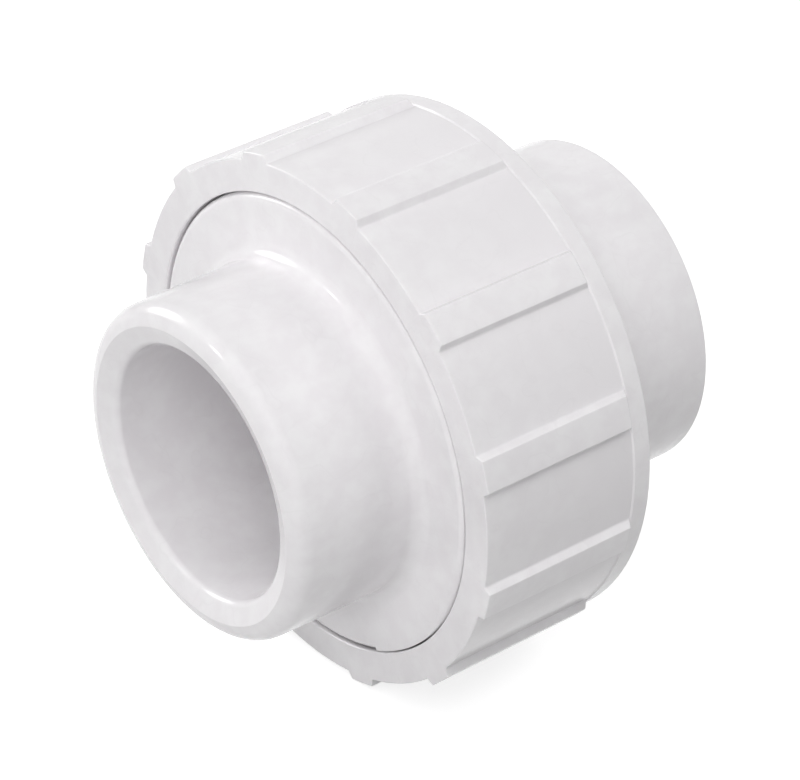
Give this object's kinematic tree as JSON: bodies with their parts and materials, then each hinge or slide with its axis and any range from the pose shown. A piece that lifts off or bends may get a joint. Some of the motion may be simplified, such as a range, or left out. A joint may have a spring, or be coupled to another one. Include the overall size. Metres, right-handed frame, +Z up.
{
  "type": "pipe union",
  "caption": "Solvent-weld pipe union: a threaded socket end and a flanged socket end drawn together on an O-ring by a ribbed captive nut.",
  "frame": {"origin": "on the pipe axis, halfway between the two socket rims", "axes": "+X along the pipe axis, from the threaded body's rim to the tailpiece's rim; +Z up, with the union lying on two of the nut's ribs"},
  "size_m": [0.0654, 0.0706, 0.0706],
  "materials": {
    "pvc_body": "moulded white PVC, satin gloss",
    "pvc_tailpiece": "moulded white PVC, satin gloss",
    "pvc_nut": "moulded white PVC, satin gloss",
    "epdm": "black moulded rubber"
  },
  "bodies": {
    "tailpiece": {"tailpiece": "pvc_tailpiece"},
    "union_nut": {"union_nut": "pvc_nut"},
    "threaded_body": {"threaded_body": "pvc_body", "o_ring": "epdm"}
  },
  "joints": [
    {"name": "nut_turn", "type": "hinge", "parent": "tailpiece", "child": "union_nut", "pos_m": [0, 0, 0], "axis": [1, 0, 0], "range_deg": [0, 1260]},
    {"name": "body_travel", "type": "slide", "parent": "tailpiece", "child": "threaded_body", "axis": [-1, 0, 0], "range_m": [0, 0.01484]}
  ],
  "couplings": [
    {"joint": "body_travel", "follows": "nut_turn", "m_per_rad": 0.00067376}
  ]
}
